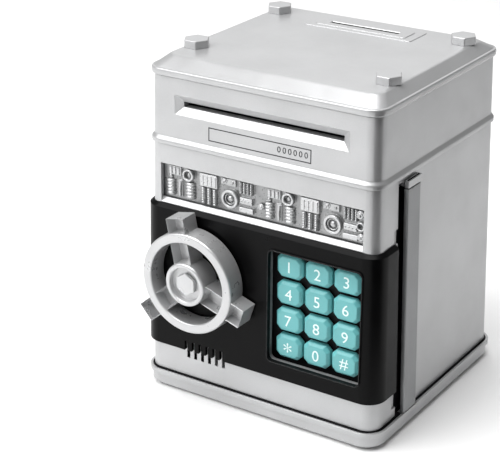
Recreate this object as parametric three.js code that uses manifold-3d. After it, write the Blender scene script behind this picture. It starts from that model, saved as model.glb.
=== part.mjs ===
// Toy cash-machine savings bank: a drafted plastic casing with a hinged, wheel-handled door, a twelve-key
// pad, a motorised bill feeder behind the front slot and a coin chute under the slot in the lid.
// Millimetres. X is to the right, -Y is the front, +Z is up. The origin is the middle of the underside.

import * as THREE from "three";
import { mergeVertices } from "three/addons/utils/BufferGeometryUtils.js";
import Module from "manifold-3d";

const wasm = await Module();
wasm.setup();

// ---------------------------------------------------------------- driving dimensions

const GAP = 0.3; // clearance between pieces that touch
const WALL = 2.2; // moulded wall

// Casing section at the lid bead. Below it the walls spread by DRAFT at z = 0.
const HALF_X = 66.6;
const HALF_Y = 62.9;
const CORNER = 7.5;
const DRAFT = 3.42;
const DRAFT_TOP_Z = 175.4;
const BEAD_PROUD = 1.4;

// Levels of the casing.
const DECK_Z = 10.2; // floor of the money compartment, inside the base groove
const DOOR_BOTTOM_Z = 10.8;
const DOOR_TOP_Z = 139;
const BEAD_Z = 139.5;
const BEAD_TALL = 4;
const LID_Z = 175.4;
const LID_BEAD_TOP_Z = 179;
const PLATE_Z = 184;
const PLATE_HALF_X = 61.2;
const PLATE_HALF_Y = 54.1;
const BOLT_R = 7; // across the corners of a lid bolt, halved
const BOLT_TALL = 4.1;

// Base tray.
const BASE_HALF_X = 72.5; // at the lip bead
const BASE_HALF_Y = 68.8;
const BASE_CORNER = 11.4;
const BASE_TOP_Z = 10.3;
const BASE_SET_IN = 1.2; // of the wall under the lip bead
const BASE_FOOT = 2.4; // width and height of the bevel round the bottom edge
const HOLLOW_SET_IN = 4.6; // of the hollow underneath
const HOLLOW_CORNER = 9;
const LIP = 1.4;
const LIP_TALL = 2.5;
const GROOVE_Z = 8.6;
const BASE_FLOOR_Z = 7.8;
const BASE_PLATE = 2.2;

// Door.
const DOOR_END_Y = -44; // where the door's two corners end on the side walls
const FASCIA_PROUD = 2.3;
const FASCIA_END_Y = -46.6;
const FASCIA_Z = [26.5, 107.2];
const WINDOW_HALF_X = 59.8;
const WINDOW_Z = [110.8, 128.6];
const SILL_Z = 107.4;
const NOTCH_Z = [
  [16, 27],
  [106.4, 114],
]; // shallow finger notches at the right end of the door
const NOTCH_FRONT_Y = -47.6;
const COVER_Y = -50.6; // front face of the door's back cover

// Keypad.
const PAD_X = 34.9;
const PAD_Z = 66.6;
const WELL_HALF_X = 27.2;
const WELL_HALF_Z = 31;
const WELL_CORNER = 3;
const KEY_PITCH_X = 16.5;
const KEY_PITCH_Z = 14.8;
const KEY_WIDE = 15.4;
const KEY_TALL = 12.8;
const KEY_SUNK = 2.5; // key face behind the fascia's face
const KEY_TRAVEL = 1.2;
const KEY_PLATE_Y = -59.6;
const KEY_STEM_END_Y = -57.5;
const KEY_NAMES = [
  ["key_1", "key_2", "key_3"],
  ["key_4", "key_5", "key_6"],
  ["key_7", "key_8", "key_9"],
  ["key_star", "key_0", "key_hash"],
];

// Wheel handle.
const WHEEL_X = -34;
const WHEEL_Z = 72.3;
const WHEEL_FRONT_Y = -80;
const WHEEL_BACK_Y = -68.4;
const WHEEL_R = 27.5;
const RING_WIDE = 5.2;
const RING_SIDES = 48;
const HUB_R = 11.8;
const SPOKE_WIDE = 10.6;
const SPOKE_END_R = 35.2;
const SPOKE_WALL = 1.3;
const SPOKE_ANGLES = [-19, 101, 221];
const SHAFT_R = 3;

// Door hinge: a line that leans with the right side wall.
const HINGE_X = 67.25; // at the level of the lid bead
const HINGE_Y = -26.95;
const KNUCKLE_R = 1.95;
const BAR_FRONT_Y = -39;
const BAR_Z = [11, 132.8];
const PIN_R = 1;
const PIN_BORE_R = 1.35;

// Bill feeder.
const SLOT_HALF_X = 46.5;
const SLOT_Z = [160, 162.7];
const BEZEL_HALF_X = 50.8;
const BEZEL_Z = [155.9, 166.6];
const FEED_Y = -33;
const FEED_Z = 155;
const ROLLER_R = 5.8;
const PINCH_Z = 167.6;
const PINCH_R = 5.6;
const GEAR_MODULE = 0.72;
const GEAR_TEETH = 28;
const PINION_TEETH = 12;
const MOTOR_R = 7.4;
const MOTOR_ANGLE = THREE.MathUtils.degToRad(197.7); // from the feed axle, seen along +X
const GEAR_CENTRES = (GEAR_MODULE * (GEAR_TEETH + PINION_TEETH)) / 2;
const MOTOR_Y = FEED_Y + GEAR_CENTRES * Math.cos(MOTOR_ANGLE);
const MOTOR_Z = FEED_Z + GEAR_CENTRES * Math.sin(MOTOR_ANGLE);
const PLATFORM_Z = [136.4, 138.6];

// Coin slot and chute.
const COIN_X = 0.5;
const COIN_Y = 38.5;
const COIN_LONG = 41;
const COIN_WIDE = 2.8;

// Three AA cells, side by side along Y, in the underside.
const CELL_R = 7.1;
const CELL_LONG = 49.2;
const CELL_Y = [20, 35, 50];
const CELL_Z = 9.9;
const CELL_BOX_X = 30.5;
const CELL_BOX_Y = [11.5, 58.5];
const CELL_BOX_TOP_Z = 19.6;

// ---------------------------------------------------------------- materials

function paint(color, roughness, metalness) {
  return new THREE.MeshStandardMaterial({ color, roughness, metalness });
}

const silver = paint(0xc9cbcd, 0.38, 0.55);
const bright = paint(0xdfe0e2, 0.3, 0.6);
const black = paint(0x1b1c1e, 0.42, 0.0);
const grey = paint(0x7c7e80, 0.5, 0.2);
const aqua = paint(0x7ccfcb, 0.4, 0.0);
const rubber = paint(0x2a2a2a, 0.85, 0.0);
const board = paint(0x1f6b3a, 0.5, 0.0);
const steel = paint(0xb4b6b8, 0.3, 0.9);
const cell = paint(0x35597a, 0.4, 0.2);
const nylon = paint(0xe9e6dc, 0.55, 0.0);

// ---------------------------------------------------------------- solids

// A closed three.js geometry as a solid that can be joined and cut.
function solid(geometry) {
  const flat = geometry.index ? geometry.toNonIndexed() : geometry;
  const bare = new THREE.BufferGeometry().setAttribute("position", flat.getAttribute("position"));
  const merged = mergeVertices(bare, 1e-4);
  return new wasm.Manifold(
    new wasm.Mesh({
      numProp: 3,
      vertProperties: merged.attributes.position.array,
      triVerts: new Uint32Array(merged.index.array),
    }),
  );
}

function geometryOf(shape) {
  const mesh = shape.getMesh();
  const geometry = new THREE.BufferGeometry();
  geometry.setAttribute("position", new THREE.BufferAttribute(mesh.vertProperties, 3));
  geometry.setIndex(new THREE.BufferAttribute(mesh.triVerts, 1));
  geometry.computeVertexNormals();
  return geometry;
}

function piece(name, shape, material) {
  const mesh = new THREE.Mesh(geometryOf(shape), material);
  mesh.name = name;
  return mesh;
}

function join(...shapes) {
  return shapes.reduce((whole, shape) => whole.add(shape));
}

function cut(shape, ...tools) {
  return tools.reduce((rest, tool) => rest.subtract(tool), shape);
}

function box([x0, x1], [y0, y1], [z0, z1]) {
  const geometry = new THREE.BoxGeometry(x1 - x0, y1 - y0, z1 - z0);
  return solid(geometry.translate((x0 + x1) / 2, (y0 + y1) / 2, (z0 + z1) / 2));
}

function roundedRect(halfX, halfY, radius) {
  const x = halfX - radius;
  const y = halfY - radius;
  const shape = new THREE.Shape();
  shape.absarc(x, y, radius, 0, Math.PI / 2);
  shape.absarc(-x, y, radius, Math.PI / 2, Math.PI);
  shape.absarc(-x, -y, radius, Math.PI, 1.5 * Math.PI);
  shape.absarc(x, -y, radius, 1.5 * Math.PI, 2 * Math.PI);
  shape.closePath();
  return shape;
}

function extruded(shape, depth, curveSegments = 5) {
  return new THREE.ExtrudeGeometry(shape, { depth, curveSegments, bevelEnabled: false });
}

// Moves each vertex by a rule that maps (x, y, z) to a new [x, y, z].
function reshaped(geometry, rule) {
  const position = geometry.getAttribute("position");
  for (let i = 0; i < position.count; i++) {
    position.setXYZ(i, ...rule(position.getX(i), position.getY(i), position.getZ(i)));
  }
  return geometry;
}

// How far the drafted walls have spread at a level.
function spread(z) {
  return DRAFT * (1 - z / DRAFT_TOP_Z);
}

function frontY(z, proud = 0) {
  return -(HALF_Y + spread(z) + proud);
}

// A block between two levels whose sides follow the drafted casing, offset outwards by proud.
function casing(proud, [z0, z1]) {
  const halfX = HALF_X + proud;
  const halfY = HALF_Y + proud;
  const geometry = extruded(roundedRect(halfX, halfY, CORNER + proud), z1 - z0);
  geometry.translate(0, 0, z0);
  const rule = (x, y, z) => [x * (1 + spread(z) / halfX), y * (1 + spread(z) / halfY), z];
  return solid(reshaped(geometry, rule));
}

// A rounded block that narrows evenly from its lower outline to its upper one.
function frustum(lower, upper, radius, [z0, z1]) {
  const geometry = extruded(roundedRect(lower[0], lower[1], radius), z1 - z0);
  geometry.translate(0, 0, z0);
  const rule = (x, y, z) => {
    const t = (z - z0) / (z1 - z0);
    return [x * (1 + t * (upper[0] / lower[0] - 1)), y * (1 + t * (upper[1] / lower[1] - 1)), z];
  };
  return solid(reshaped(geometry, rule));
}

// An outline in X and Z, extruded from front to back.
function plateXZ(shape, frontAt, backAt, curveSegments = 5) {
  const geometry = extruded(shape, backAt - frontAt, curveSegments);
  return solid(geometry.rotateX(Math.PI / 2).translate(0, backAt, 0));
}

function outline(points) {
  return new THREE.Shape(points.map(([a, b]) => new THREE.Vector2(a, b)));
}

// An outline in Y and Z, extruded along X.
function barYZ(shape, [x0, x1], curveSegments = 6) {
  const geometry = extruded(shape, x1 - x0, curveSegments);
  const rule = (y, z, x) => [x + x0, y, z];
  return solid(reshaped(geometry, rule));
}

function rodX(radius, [x0, x1], y, z, sides = 20) {
  const geometry = new THREE.CylinderGeometry(radius, radius, x1 - x0, sides);
  return solid(geometry.rotateZ(Math.PI / 2).translate((x0 + x1) / 2, y, z));
}

function rodY(radius, [y0, y1], x, z, sides = 20) {
  const geometry = new THREE.CylinderGeometry(radius, radius, y1 - y0, sides);
  return solid(geometry.translate(x, (y0 + y1) / 2, z));
}

function rodZ(radius, [z0, z1], x, y, sides = 20) {
  const geometry = new THREE.CylinderGeometry(radius, radius, z1 - z0, sides);
  return solid(geometry.rotateX(Math.PI / 2).translate(x, y, (z0 + z1) / 2));
}

function roundedXZ(x, z, halfX, halfZ, radius) {
  const shape = roundedRect(halfX, halfZ, radius);
  return outline(shape.getPoints(5).map((p) => [p.x + x, p.y + z]));
}

// ---------------------------------------------------------------- base

function baseTray() {
  const side = [BASE_HALF_X - BASE_SET_IN, BASE_HALF_Y - BASE_SET_IN];
  const sideCorner = BASE_CORNER - BASE_SET_IN;
  const foot = side.map((half) => half - BASE_FOOT);
  const footCorner = (sideCorner * foot[0]) / side[0];
  const bevel = frustum(foot, side, footCorner, [0, BASE_FOOT]);
  const wall = frustum(side, side, sideCorner, [BASE_FOOT - 0.1, BASE_TOP_Z - LIP_TALL + 0.5]);
  const rim = extruded(roundedRect(BASE_HALF_X, BASE_HALF_Y, BASE_CORNER), LIP_TALL);
  const bead = solid(rim.translate(0, 0, BASE_TOP_Z - LIP_TALL));
  const block = join(bevel, wall, bead);
  const lipInner = roundedRect(BASE_HALF_X - LIP, BASE_HALF_Y - LIP, BASE_CORNER - LIP);
  const well = solid(extruded(lipInner, BASE_TOP_Z).translate(0, 0, GROOVE_Z));
  const plateau = casing(0.1, [GROOVE_Z - 1, DECK_Z]);
  const hollow = roundedRect(BASE_HALF_X - HOLLOW_SET_IN, BASE_HALF_Y - HOLLOW_SET_IN, HOLLOW_CORNER);
  const under = solid(extruded(hollow, BASE_FLOOR_Z + 1).translate(0, 0, -1));
  const cellBox = box([-CELL_BOX_X - 1.8, CELL_BOX_X + 1.8], [9.7, 60.3], [BASE_FLOOR_Z, CELL_BOX_TOP_Z]);
  const cells = box([-CELL_BOX_X, CELL_BOX_X], CELL_BOX_Y, [-1, CELL_BOX_TOP_Z - 1.8]);
  const hingeX = HINGE_X + spread(DECK_Z);
  const pocket = box([hingeX - 2.3, hingeX + 1.6], [BAR_FRONT_Y - 0.1, HINGE_Y + 2.5], [7.7, 12]);
  const tray = join(cut(block, well), plateau, cellBox);
  return piece("base_tray", cut(tray, under, cells, pocket), silver);
}

function basePlate() {
  const inset = HOLLOW_SET_IN + GAP;
  const sheet = roundedRect(BASE_HALF_X - inset, BASE_HALF_Y - inset, HOLLOW_CORNER - GAP);
  const hatch = box([-CELL_BOX_X, CELL_BOX_X], CELL_BOX_Y, [-1, BASE_PLATE + 1]);
  return piece("base_plate", cut(solid(extruded(sheet, BASE_PLATE)), hatch), silver);
}

function batteryCover() {
  const x = CELL_BOX_X - GAP;
  const [y0, y1] = CELL_BOX_Y;
  const lid = box([-x, x], [y0 + GAP, y1 - GAP], [0, 1.8]);
  const fingerGrip = rodX(4, [-7, 7], y1 - 2, -3.2);
  const screwHole = rodZ(2.4, [-1, 3], 0, 15.5);
  return piece("battery_cover", cut(lid, fingerGrip, screwHole), silver);
}

function batteryCoverScrew() {
  const head = rodZ(2.1, [0.3, 1.7], 0, 15.5);
  const cross = join(box([-1.4, 1.4], [15.2, 15.8], [0, 0.8]), box([-0.3, 0.3], [14.1, 16.9], [0, 0.8]));
  return piece("battery_cover_screw", cut(head, cross), steel);
}

function batteryCells() {
  const can = rodX(CELL_R, [-CELL_LONG / 2, CELL_LONG / 2 - 1.3], 0, 0);
  const button = rodX(2.7, [CELL_LONG / 2 - 1.5, CELL_LONG / 2], 0, 0);
  return CELL_Y.map((y, i) => {
    const mesh = piece(`battery_${i + 1}`, join(can, button), cell);
    mesh.position.set(0, y, CELL_Z);
    mesh.rotation.z = i === 1 ? Math.PI : 0;
    return mesh;
  });
}

// Spring-steel strips at the two ends of the cells.
function batteryContacts() {
  return [-1, 1].map((side) => {
    const near = side * (CELL_BOX_X - GAP);
    const far = side * (CELL_BOX_X - GAP - 0.8);
    const strip = box([Math.min(near, far), Math.max(near, far)], [13, 57], [4, 15]);
    const bumps = CELL_Y.map((y) => {
      const tip = side * (CELL_BOX_X - 4.4);
      return rodX(2.4, [Math.min(tip, far), Math.max(tip, far)], y, CELL_Z, 12);
    });
    return piece(side < 0 ? "battery_contact_left" : "battery_contact_right", join(strip, ...bumps), steel);
  });
}

// ---------------------------------------------------------------- casing

function mainHousing() {
  const z = [DECK_Z + GAP, DOOR_TOP_Z + 0.2];
  const shell = cut(casing(0, z), casing(-WALL, [z[0] - 1, z[1] + 1]));
  const doorway = box([-90, 90], [-90, DOOR_END_Y + 0.4], [0, 150]);
  const gapCut = box([50, 90], [-60, BAR_FRONT_Y], [0, 136.9]);
  const barCut = box([50, 90], [-60, HINGE_Y + KNUCKLE_R + 0.35], [0, 134.3]);
  return piece("main_housing", cut(shell, doorway, gapCut, barCut), silver);
}

function upperHousing() {
  const z = [BEAD_Z, LID_Z - 0.4];
  const wall = join(casing(0, z), casing(BEAD_PROUD, [BEAD_Z, BEAD_Z + BEAD_TALL]));
  const inside = casing(-WALL, [z[0] - 1, z[1] + 1]);
  const slotHalf = BEZEL_HALF_X + GAP;
  const slot = box([-slotHalf, slotHalf], [-80, -50], [BEZEL_Z[0] - GAP, BEZEL_Z[1] + GAP]);
  return piece("upper_housing", cut(wall, inside, slot), silver);
}

function topLid() {
  const rim = casing(BEAD_PROUD, [LID_Z, LID_BEAD_TOP_Z]);
  const plate = [PLATE_HALF_X, PLATE_HALF_Y];
  const bevel = frustum([HALF_X, HALF_Y], plate, CORNER, [LID_BEAD_TOP_Z - 0.5, PLATE_Z]);
  const roof = [PLATE_HALF_X - 2, PLATE_HALF_Y - 2];
  const hollow = frustum([HALF_X - WALL, HALF_Y - WALL], roof, 5, [LID_Z - 1, PLATE_Z - WALL]);
  const frames = [
    [32, 9.6, 0.35],
    [27, 6.2, 0.7],
  ].map(([halfX, halfY, tall]) => {
    const frame = extruded(roundedRect(halfX, halfY, 1.5), tall + 0.5);
    return solid(frame.translate(COIN_X, COIN_Y, PLATE_Z - 0.5));
  });
  const slot = box(
    [COIN_X - COIN_LONG / 2, COIN_X + COIN_LONG / 2],
    [COIN_Y - COIN_WIDE / 2, COIN_Y + COIN_WIDE / 2],
    [170, 190],
  );
  const shell = cut(join(rim, bevel), hollow);
  return piece("top_lid", cut(join(shell, ...frames), slot), silver);
}

function lidBolts() {
  const places = {
    lid_bolt_front_left: [-55.8, -36],
    lid_bolt_front_right: [55.8, -36],
    lid_bolt_back_left: [-55.8, 43],
    lid_bolt_back_right: [55.8, 43],
  };
  const head = rodZ(BOLT_R, [0, BOLT_TALL], 0, 0, 6);
  return Object.entries(places).map(([name, [x, y]]) => {
    const mesh = piece(name, head, silver);
    mesh.position.set(x, y, PLATE_Z + GAP / 3);
    mesh.rotation.z = Math.PI / 6;
    return mesh;
  });
}

function billSlotBezel() {
  const middleZ = (BEZEL_Z[0] + BEZEL_Z[1]) / 2;
  const face = frontY(middleZ);
  const block = box([-BEZEL_HALF_X, BEZEL_HALF_X], [face, -56.5], BEZEL_Z);
  const mouth = new THREE.BoxGeometry(2, 4, 2);
  const rule = (x, y, z) => {
    const outer = y < 0;
    const halfX = outer ? BEZEL_HALF_X + 1.6 : SLOT_HALF_X;
    const low = outer ? BEZEL_Z[0] - 1.6 : SLOT_Z[0];
    const high = outer ? BEZEL_Z[1] + 1.6 : SLOT_Z[1];
    return [x * halfX, face + (outer ? -1.2 : 2.4), z < 0 ? low : high];
  };
  const slot = box([-SLOT_HALF_X, SLOT_HALF_X], [-80, -40], SLOT_Z);
  return piece("bill_slot_bezel", cut(block, solid(reshaped(mouth, rule)), slot), silver);
}

// ---------------------------------------------------------------- feeder and chute

// The platform over the money compartment, with the two plates that carry the rollers.
function feedPlatform() {
  const sheet = cut(
    casing(-WALL - GAP, PLATFORM_Z),
    box([-47, 47], [-26, -16], [130, 150]),
    box([COIN_X - 24, COIN_X + 24], [34.6, 42.4], [130, 150]),
    box([50, 90], [-90, -39], [130, 150]),
  );
  const doorSide = box([-90, 90], [-90, -43], [130, 150]);
  const cheeks = [-56.4, 53].map((x) => box([x, x + 2], [-41, -25], [PLATFORM_Z[0], 172]));
  const bores = [FEED_Z, PINCH_Z].map((z) => rodX(1.9, [-60, 60], FEED_Y, z));
  return piece("feed_platform", cut(join(cut(sheet, doorSide), ...cheeks), ...bores), black);
}

function billGuides() {
  const lower = join(
    box([-46, 46], [-56, -40], [158.2, 159.6]),
    box([-47.6, -46], [-56, -40], [158.2, 162.6]),
    box([46, 47.6], [-56, -40], [158.2, 162.6]),
  );
  const upper = outline([
    [-56, 164.6],
    [-40, 163.2],
    [-40, 164.6],
    [-56, 166],
  ]);
  return [piece("bill_guide_lower", lower, black), piece("bill_guide_upper", barYZ(upper, [-46, 46]), black)];
}

// A bent sheet that turns the bill down through the platform.
function billDeflector() {
  const shape = new THREE.Shape();
  shape.absarc(-27, 152, 12.4, Math.PI / 2, 0, true);
  shape.lineTo(-14.6, 141);
  shape.lineTo(-13.2, 141);
  shape.absarc(-27, 152, 13.8, 0, Math.PI / 2, false);
  shape.closePath();
  return piece("bill_deflector", barYZ(shape, [-46, 46]), black);
}

function gearShape(teeth, y, z, phase) {
  const step = (2 * Math.PI) / teeth;
  const root = GEAR_MODULE * (teeth / 2 - 1.15);
  const tip = GEAR_MODULE * (teeth / 2 + 0.8);
  const points = [];
  for (let i = 0; i < teeth; i++) {
    for (const [radius, part] of [
      [root, -0.28],
      [tip, -0.11],
      [tip, 0.11],
      [root, 0.28],
    ]) {
      const angle = phase + (i + part) * step;
      points.push([y + radius * Math.cos(angle), z + radius * Math.sin(angle)]);
    }
  }
  return outline(points);
}

function feedTrain() {
  const gear = barYZ(gearShape(GEAR_TEETH, FEED_Y, FEED_Z, MOTOR_ANGLE), [-52, -49]);
  const pinionPhase = MOTOR_ANGLE + Math.PI + Math.PI / PINION_TEETH;
  const pinion = barYZ(gearShape(PINION_TEETH, MOTOR_Y, MOTOR_Z, pinionPhase), [-52.6, -46]);
  const pinch = join(rodX(1.5, [-57.4, 56], FEED_Y, PINCH_Z), rodX(PINCH_R, [-30, 30], FEED_Y, PINCH_Z));
  const axleBore = rodX(1.8, [-60, 40], FEED_Y, FEED_Z);
  return [
    piece("feed_axle", rodX(1.5, [-57.4, 56], FEED_Y, FEED_Z), steel),
    piece("feed_roller", cut(rodX(ROLLER_R, [-32, 32], FEED_Y, FEED_Z), axleBore), rubber),
    piece("feed_gear", cut(gear, axleBore), nylon),
    piece("motor_pinion", cut(pinion, rodX(1.3, [-60, -40], MOTOR_Y, MOTOR_Z)), nylon),
    piece("pinch_roller", pinch, nylon),
  ];
}

function feedMotor() {
  const can = rodX(MOTOR_R, [-44, -20], MOTOR_Y, MOTOR_Z, 28);
  const nose = rodX(3, [-45.4, -43], MOTOR_Y, MOTOR_Z);
  const shaft = rodX(1, [-52.6, -44], MOTOR_Y, MOTOR_Z, 16);
  const foot = box([-42, -22], [MOTOR_Y - 6, MOTOR_Y + 3.5], [PLATFORM_Z[1] + GAP, 143.6]);
  const below = box([-60, 0], [-70, -40], [130, PLATFORM_Z[1] + GAP]);
  return piece("feed_motor", cut(join(can, nose, shaft, foot), below), steel);
}

function coinChute() {
  const outer = box([COIN_X - 22.6, COIN_X + 22.6], [COIN_Y - 3.2, COIN_Y + 3.2], [128, 181.4]);
  const inner = box([COIN_X - 21.2, COIN_X + 21.2], [COIN_Y - 1.9, COIN_Y + 1.9], [120, 190]);
  return piece("coin_chute", cut(outer, inner), black);
}

function mainBoard() {
  const sheet = box([2, 52], [-6, 28], [142, 143.6]);
  const parts = [
    box([8, 20], [2, 14], [143.5, 145.4]),
    box([26, 36], [16, 22], [143.5, 148]),
    rodZ(3, [143.5, 151], 44, 6, 16),
    box([30, 44], [-5, -1], [143.5, 149]),
  ];
  const posts = [
    [5, -3],
    [49, -3],
    [5, 25],
    [49, 25],
  ].map(([x, y]) => rodZ(1.8, [PLATFORM_Z[1] + GAP, 142.4], x, y, 12));
  return piece("main_board", join(sheet, ...parts, ...posts), board);
}

// ---------------------------------------------------------------- door

function ventSlots() {
  const slots = [];
  for (let i = 0; i < 6; i++) {
    const x = -43.2 + i * 4.45;
    slots.push(box([x - 0.95, x + 0.95], [-80, -50], [21.4, 32.2]));
  }
  return slots;
}

function doorShell() {
  const z = [DOOR_BOTTOM_Z, DOOR_TOP_Z];
  const behind = box([-90, 90], [DOOR_END_Y, 90], [0, 150]);
  const shell = cut(casing(0, z), casing(-WALL, [z[0] - 1, z[1] + 1]), behind);
  const window = box([-WINDOW_HALF_X, WINDOW_HALF_X], [-80, -50], WINDOW_Z);
  const sillFront = frontY(SILL_Z) - 0.01;
  const sill = outline([
    [sillFront - 3, SILL_Z - 3],
    [sillFront + 4, SILL_Z + 4],
    [sillFront + 4, 120],
    [sillFront - 3, 120],
  ]);
  const slope = barYZ(sill, [-WINDOW_HALF_X, WINDOW_HALF_X]);
  const well = plateXZ(roundedXZ(PAD_X, PAD_Z, WELL_HALF_X, WELL_HALF_Z, WELL_CORNER), -80, -50);
  const shaftHole = rodY(SHAFT_R + 1, [-80, -50], WHEEL_X, WHEEL_Z);
  const notches = NOTCH_Z.map((level) => {
    const wallX = HALF_X + spread((level[0] + level[1]) / 2);
    return box([wallX - 1, 90], [NOTCH_FRONT_Y, 0], level);
  });
  return piece("door_shell", cut(shell, window, slope, well, shaftHole, ...notches, ...ventSlots()), silver);
}

function fasciaPanel() {
  const [z0, z1] = FASCIA_Z;
  const skin = casing(FASCIA_PROUD, [z0, z1 - FASCIA_PROUD]);
  const halfX = HALF_X + FASCIA_PROUD + spread(z1 - FASCIA_PROUD);
  const halfY = HALF_Y + FASCIA_PROUD + spread(z1 - FASCIA_PROUD);
  const shrink = FASCIA_PROUD - 0.2;
  const chamfer = frustum([halfX, halfY], [halfX - shrink, halfY - shrink], CORNER + FASCIA_PROUD, [
    z1 - FASCIA_PROUD,
    z1,
  ]);
  const core = casing(GAP, [0, 150]);
  const back = box([-90, 90], [FASCIA_END_Y, 90], [0, 150]);
  const well = plateXZ(roundedXZ(PAD_X, PAD_Z, WELL_HALF_X, WELL_HALF_Z, WELL_CORNER), -80, -50);
  const shaftHole = rodY(SHAFT_R + 1, [-80, -50], WHEEL_X, WHEEL_Z);
  return piece("fascia_panel", cut(join(skin, chamfer), core, back, well, shaftHole, ...ventSlots()), black);
}

// Raised machine-like shapes on the sheet behind the door's window, from left to right.
function reliefPlate() {
  const back = -59.2;
  const face = -61;
  const top = -63.4;
  const parts = [box([-61.4, 61.4], [face, back], [108, 131])];
  const coil = (x, z, radius, tall) => {
    for (let i = 0; i < 4; i++) {
      const low = z + (i * tall) / 4;
      parts.push(box([x - radius, x + radius], [top + 0.4, face + 0.5], [low, low + tall / 4 - 0.7]));
    }
    parts.push(box([x - radius + 0.8, x + radius - 0.8], [top + 1.1, face + 0.5], [z, z + tall]));
  };
  const ring = (x, z, radius, wide) => {
    const eye = rodY(radius - wide, [-70, top + 1.4], x, z, 14);
    parts.push(cut(rodY(radius, [top, face + 0.5], x, z, 14), eye));
  };
  const block = (x, z, halfX, halfZ, front) => {
    parts.push(box([x - halfX, x + halfX], [front, face + 0.5], [z - halfZ, z + halfZ]));
  };
  for (const shift of [-60, 0]) {
    coil(shift + 5, 112, 2.8, 8);
    coil(shift + 17, 112, 3.2, 8.4);
    ring(shift + 16.5, 124.4, 3.4, 1.2);
    block(shift + 8, 123.4, 3.6, 2.2, top + 0.9);
    block(shift + 29, 124, 5.2, 3.6, top + 0.3);
    for (let i = 0; i < 3; i++) block(shift + 25.6 + i * 3.4, 116.4, 1.1, 4.8, top + 0.6);
    ring(shift + 42, 117, 5, 1.5);
    block(shift + 40.5, 125.8, 4.4, 1.9, top + 1);
    for (let i = 0; i < 4; i++) block(shift + 49 + i * 1.9, 124.6, 0.6, 3, top + 0.8);
    block(shift + 51.8, 117.6, 3.4, 1.6, top + 0.5);
    block(shift + 51.8, 112.8, 4, 1.3, top + 0.4);
  }
  ring(57, 119.4, 2.5, 0.9);
  return piece("relief_plate", join(...parts), silver);
}

// The upper end of each key row stands a little further back, as the drafted front does.
function keyFaceY(z) {
  return frontY(z, FASCIA_PROUD) + KEY_SUNK;
}

function keyPlaces() {
  const places = [];
  KEY_NAMES.forEach((row, r) => {
    row.forEach((name, c) => {
      places.push({ name, x: PAD_X + (c - 1) * KEY_PITCH_X, z: PAD_Z + (1.5 - r) * KEY_PITCH_Z });
    });
  });
  return places;
}

function octagon(halfX, halfZ, corner) {
  return outline([
    [halfX - corner, -halfZ],
    [halfX, -halfZ + corner],
    [halfX, halfZ - corner],
    [halfX - corner, halfZ],
    [-halfX + corner, halfZ],
    [-halfX, halfZ - corner],
    [-halfX, -halfZ + corner],
    [-halfX + corner, -halfZ],
  ]);
}

function keys() {
  return keyPlaces().map(({ name, x, z }) => {
    const deep = KEY_PLATE_Y - KEY_TRAVEL - GAP - keyFaceY(z);
    const cap = plateXZ(octagon(KEY_WIDE / 2, KEY_TALL / 2, 2.6), 1.3, deep - 1.3);
    const crown = new THREE.ExtrudeGeometry(octagon(KEY_WIDE / 2, KEY_TALL / 2, 2.6), {
      depth: 1.4,
      bevelEnabled: false,
    });
    const rule = (px, py, pz) => {
      const t = pz / 1.4;
      return [px * (1 - 0.2 * t), 1.4 - pz, py * (1 - 0.22 * t)];
    };
    const stem = plateXZ(octagon(5.6, 4.2, 1), deep - 1.5, KEY_STEM_END_Y - keyFaceY(z));
    const mesh = piece(name, join(cap, solid(reshaped(crown, rule)), stem), aqua);
    mesh.position.set(x, keyFaceY(z), z);
    return mesh;
  });
}

function keypadStack() {
  const left = PAD_X - WELL_HALF_X - 2.2;
  const right = PAD_X + WELL_HALF_X + 0.6;
  const z = [PAD_Z - WELL_HALF_Z - 3, PAD_Z + WELL_HALF_Z + 3];
  const stemHole = octagon(6.1, 4.7, 1).getPoints();
  const holes = keyPlaces().map((key) => {
    return plateXZ(outline(stemHole.map((p) => [p.x + key.x, p.y + key.z])), -70, -50);
  });
  const plate = cut(box([left, right], [KEY_PLATE_Y, KEY_PLATE_Y + 2], z), ...holes);
  const domes = keyPlaces().map((k) => rodY(3.4, [-56.2, -55], k.x, k.z, 12));
  const mat = join(box([left, right], [-55.7, -55], z), ...domes);
  return [
    piece("keypad_plate", plate, black),
    piece("keypad_mat", mat, rubber),
    piece("keypad_board", box([left, right], [-54.6, -53], z), board),
  ];
}

function doorBackCover() {
  const sheet = box([-60.5, 60], [COVER_Y, COVER_Y + 1.8], [13.5, 136.5]);
  const shaftHole = rodY(SHAFT_R + 0.8, [-60, -40], WHEEL_X, WHEEL_Z);
  const bosses = [
    [-56, 18],
    [56, 18],
    [-56, 104],
    [56, 104],
  ].map(([x, z]) => rodY(2.6, [COVER_Y - 8, COVER_Y + 0.5], x, z, 16));
  return piece("door_back_cover", cut(join(sheet, ...bosses), shaftHole), grey);
}

function speaker() {
  const basket = rodY(9.5, [-62.4, -60], -32, 26.6, 28);
  const magnet = rodY(5.5, [-60.2, -56], -32, 26.6, 20);
  return piece("speaker", join(basket, magnet), black);
}

function lockSolenoid() {
  const frame = box([-18, 6], [COVER_Y + 2.1, -37], [58.4, 70.2]);
  const bore = rodX(2.4, [-20, 0], -41.6, 64.3);
  return piece("lock_solenoid", cut(frame, bore), steel);
}

function lockPlunger() {
  const rod = join(rodX(2, [-19, -6], -41.6, 64.3), rodX(2.3, [-20.4, -18.6], -41.6, 64.3));
  return piece("lock_plunger", rod, bright);
}

// ---------------------------------------------------------------- hinge

// Leans a vertical block with the right side wall.
function leaning(geometry) {
  return solid(reshaped(geometry, (x, y, z) => [x + spread(z), y, z]));
}

function column(shape, [z0, z1]) {
  return leaning(extruded(shape, z1 - z0, 8).translate(0, 0, z0));
}

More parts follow.
